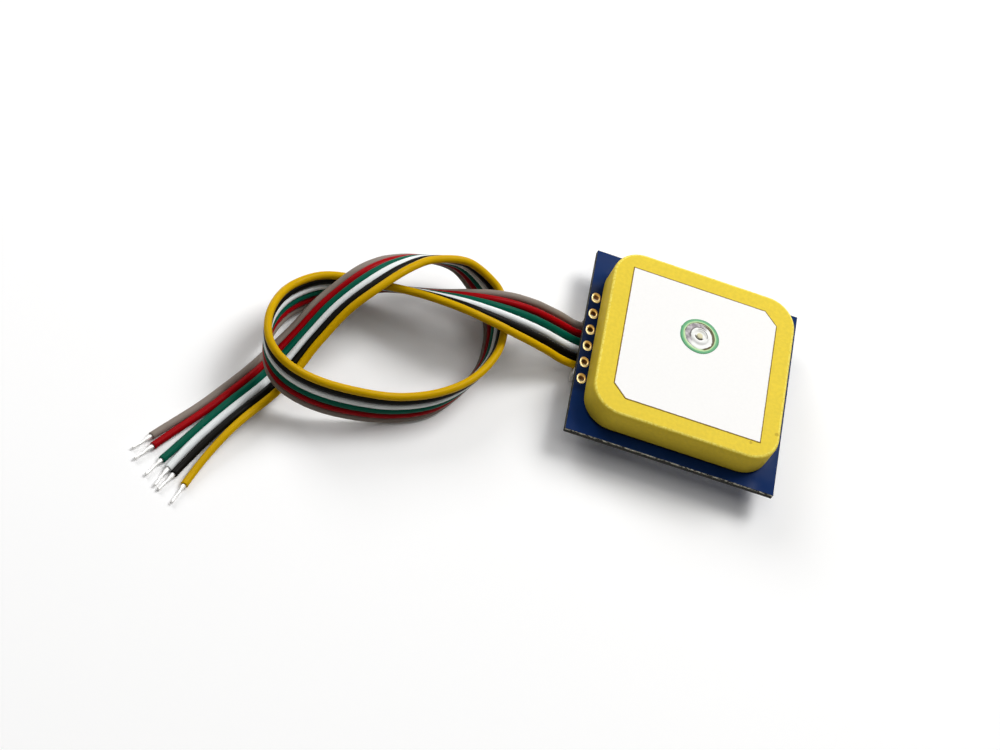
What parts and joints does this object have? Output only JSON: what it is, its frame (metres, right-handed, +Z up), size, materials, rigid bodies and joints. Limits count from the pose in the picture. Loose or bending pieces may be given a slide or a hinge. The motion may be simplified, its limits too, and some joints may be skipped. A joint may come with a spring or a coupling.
{
  "type": "gps module",
  "caption": "Square positioning receiver board with a ceramic patch antenna on top, a row of plated holes, a shield can below, and a flat ribbon lead of coloured wires tied in a loose knot.",
  "frame": {"origin": "under the middle of the circuit board, on the surface that the module lies on", "axes": "+Z up through the antenna, +X along the board's front edge away from the lead, +Y to the back"},
  "size_m": [0.0786, 0.053, 0.0108],
  "materials": {
    "board": "dark blue solder mask on glass-fibre board",
    "gold_plating": "gold-plated copper",
    "adhesive": "white adhesive film",
    "silver_layer": "fired silver paste, satin",
    "antenna_ceramic": "fine-grained yellow ceramic, satin",
    "green_print": "printed green glaze",
    "solder": "bright solder",
    "pin_metal": "tinned brass pin",
    "can_metal": "tinned steel sheet",
    "chip_body": "black moulding compound",
    "oscillator_lid": "gold-plated lid",
    "filter_body": "plain ceramic package",
    "capacitor_body": "brown ceramic with tinned ends",
    "resistor_body": "black film on ceramic with tinned ends",
    "light_lens": "clear resin lens on a pale base",
    "socket_nylon": "natural nylon",
    "tinned_contact": "tinned copper alloy",
    "plug_nylon": "white nylon",
    "grey_jacket": "soft plastic jacket",
    "red_jacket": "soft plastic jacket",
    "green_jacket": "soft plastic jacket",
    "white_jacket": "soft plastic jacket",
    "black_jacket": "soft plastic jacket",
    "yellow_jacket": "soft plastic jacket"
  },
  "bodies": {
    "root": {"circuit_board": "board", "hole_lands": "gold_plating", "adhesive_pad": "adhesive", "antenna_ground": "silver_layer", "antenna_ceramic": "antenna_ceramic", "antenna_electrode": "silver_layer", "feed_ring": "green_print", "feed_solder": "solder", "feed_pin": "pin_metal", "feed_joint": "solder", "shield_can": "can_metal", "receiver_chip": "chip_body", "flash_chip": "chip_body", "clock_oscillator": "oscillator_lid", "clock_crystal": "can_metal", "signal_filter": "filter_body", "signal_amplifier": "chip_body", "voltage_regulator": "chip_body", "chip_capacitors": "capacitor_body", "chip_resistors": "resistor_body", "status_light": "light_lens", "socket_housing": "socket_nylon", "socket_contacts": "tinned_contact", "socket_anchors": "tinned_contact", "plug_housing": "plug_nylon", "crimp_contacts": "tinned_contact", "wire_grey": "grey_jacket", "wire_red": "red_jacket", "wire_green": "green_jacket", "wire_white": "white_jacket", "wire_black": "black_jacket", "wire_yellow": "yellow_jacket", "bare_tips": "tinned_contact"}
  },
  "joints": []
}
